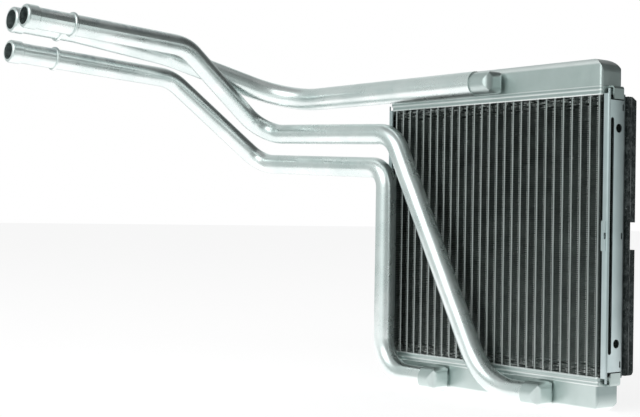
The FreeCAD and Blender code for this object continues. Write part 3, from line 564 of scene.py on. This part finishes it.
def add_world():
    """White to the camera; in mirrors white that dulls overhead; else soft grey."""
    world = bpy.data.worlds.new("studio")
    graph = bare_graph(world)
    seen = graph.add("ShaderNodeTexCoord")
    height = graph.split(seen.outputs["Generated"])[2]
    fall = graph.spread(height, CLEAR_SKY_RISE, DULL_SKY_RISE, 1.0, DULL_SKY)
    path = graph.add("ShaderNodeLightPath")
    mirrored = graph.maths("MAXIMUM", path.outputs["Is Glossy Ray"],
                           path.outputs["Is Transmission Ray"])
    plain, sky, white = (graph.add("ShaderNodeBackground", Color=colour)
                         for colour in (SOFT_GREY, SKY_TINT, WHITE))
    graph.join(fall, sky.inputs["Strength"])
    unseen = graph.mix_shader(mirrored, plain.outputs["Background"], sky.outputs["Background"])
    graph.finish("ShaderNodeOutputWorld", graph.mix_shader(
        path.outputs["Is Camera Ray"], unseen, white.outputs["Background"]))
    bpy.context.scene.world = world


def add_floor():
    """A pale floor that stays white where it is lit and keeps the object's shadow."""
    material = bpy.data.materials.new("floor_white")
    graph = bare_graph(material)
    path = graph.add("ShaderNodeLightPath")
    seen = graph.times(path.outputs["Is Camera Ray"], FLOOR_SEEN)
    mirrored = graph.times(path.outputs["Is Glossy Ray"], FLOOR_MIRRORED)
    glow = graph.add("ShaderNodeEmission")
    graph.join(graph.maths("ADD", seen, mirrored), glow.inputs["Strength"])
    paint = graph.add("ShaderNodeBsdfDiffuse", Color=FLOOR_PAINT)
    both = graph.add("ShaderNodeAddShader")
    graph.join(glow.outputs["Emission"], both.inputs[0])
    graph.join(paint.outputs["BSDF"], both.inputs[1])
    graph.finish("ShaderNodeOutputMaterial", both.outputs["Shader"])
    half = FLOOR_SIDE / 2
    corners = [(-half, -half, 0.0), (half, -half, 0.0), (half, half, 0.0), (-half, half, 0.0)]
    square = new_object("floor", corners, [(0, 1, 2, 3)], material)
    square.location = (0.0, 0.0, cad_box[0].z - FLOOR_DROP)


def wall_material():
    """The wall's brightness, by azimuth, changes between below and above the horizon."""
    material = bpy.data.materials.new("room_wall")
    graph = bare_graph(material)
    x, y, z = graph.split(graph.add("ShaderNodeTexCoord").outputs["Object"])
    turn = graph.spread(graph.maths("ARCTAN2", y, x), -math.pi, math.pi)
    levels = []
    for column in (1, 2):
        ramp = graph.add("ShaderNodeValToRGB")
        stops = ramp.color_ramp.elements
        for number, row in enumerate(WALL_LEVELS):
            place = (row[0] + 180.0) / 360.0
            stop = stops[number] if number < 2 else stops.new(place)
            stop.position = place
            stop.color = (*(tint * row[column] for tint in WALL_TINT), 1.0)
        graph.join(turn, ramp.inputs["Fac"])
        levels.append(ramp.outputs["Color"])
    glow = graph.add("ShaderNodeEmission")
    graph.join(graph.blend(graph.spread(z, *HORIZON), *levels), glow.inputs["Color"])
    graph.finish("ShaderNodeOutputMaterial", glow.outputs["Emission"])
    return material


def add_room_wall():
    """The room around the object, which only the metal sees: dim to the right of the camera."""
    low = cad_box[0].z
    points, faces = [], []
    for number in range(WALL_STEPS):
        degrees = 360.0 * number / WALL_STEPS - 180.0
        angle = math.radians(degrees)
        near = any(start <= degrees <= end for start, end in NEAR_SPANS)
        ring = ((WALL_RADIUS, WALL_TOP), (WALL_RADIUS, low),
                (NEAR_RADIUS if near else TABLE_RADIUS, low))
        points += [(r * math.cos(angle), r * math.sin(angle), z) for r, z in ring]
        a = number * len(ring)
        b = (a + len(ring)) % (WALL_STEPS * len(ring))
        faces += [(a, b, b + 1, a + 1), (a + 1, b + 1, b + 2, a + 2)]
    wall = new_object("room_wall", points, faces, wall_material())
    wall.visible_camera = False
    wall.visible_diffuse = False
    wall.visible_shadow = False


def add_lamp():
    """One wide soft lamp, above and in front of the object."""
    data = bpy.data.lights.new("front", "AREA")
    data.shape = "RECTANGLE"
    data.size, data.size_y = LAMP_SIZE
    data.energy = LAMP_POWER
    lamp = bpy.data.objects.new("front", data)
    lamp.location = LAMP_PLACE
    lamp.rotation_euler = (-LAMP_PLACE).to_track_quat("-Z", "Y").to_euler()
    bpy.context.scene.collection.objects.link(lamp)


def camera_axes():
    """Right, down and forward directions of the fitted camera."""
    a, e, r = CAMERA_AZIMUTH, CAMERA_PITCH, CAMERA_ROLL
    forward = Vector((-math.sin(a) * math.cos(e), math.cos(a) * math.cos(e), -math.sin(e)))
    level = Vector((math.cos(a), math.sin(a), 0.0))
    below = forward.cross(level)
    right = level * math.cos(r) + below * math.sin(r)
    down = below * math.cos(r) - level * math.sin(r)
    return right, down, forward


def add_camera():
    right, down, forward = camera_axes()
    place = -(right * CAMERA_SHIFT.x + down * CAMERA_SHIFT.y + forward * CAMERA_SHIFT.z)
    data = bpy.data.cameras.new("camera")
    data.lens = LENS
    data.sensor_width = SENSOR
    data.clip_start, data.clip_end = CLIP_NEAR, CLIP_FAR
    camera = bpy.data.objects.new("camera", data)
    turn = Matrix((right, -down, -forward)).transposed()
    camera.matrix_world = Matrix.Translation(place + BLOCK_CORNER) @ turn.to_4x4()
    bpy.context.scene.collection.objects.link(camera)
    bpy.context.scene.camera = camera


slots = {
    "tube_metal": pressed_metal("tube_metal", TUBE_TONES, TUBE_ROUGH, sway=0.0),
    "fin_metal": fin_metal(),
    "header_metal": pressed_metal("header_metal", HEADER_TONES, HEADER_ROUGH, header_marks),
    "tank_metal": pressed_metal("tank_metal", TANK_TONES, TANK_ROUGH, tank_marks,
                                draft=TANK_DRAFT),
    "pipe_metal": drawn_pipe(),
    "plate_metal": pressed_metal("plate_metal", PLATE_TONES, PLATE_ROUGH, crown=WEB_CROWN),
    "seal_foam": foam(),
}
paint_nodes(slots)
build_fins(slots["fin_metal"].material)
add_world()
add_floor()
add_camera()
bpy.context.view_layer.update()
add_room_wall()
add_lamp()

bpy.context.scene.view_settings.view_transform = "Standard"
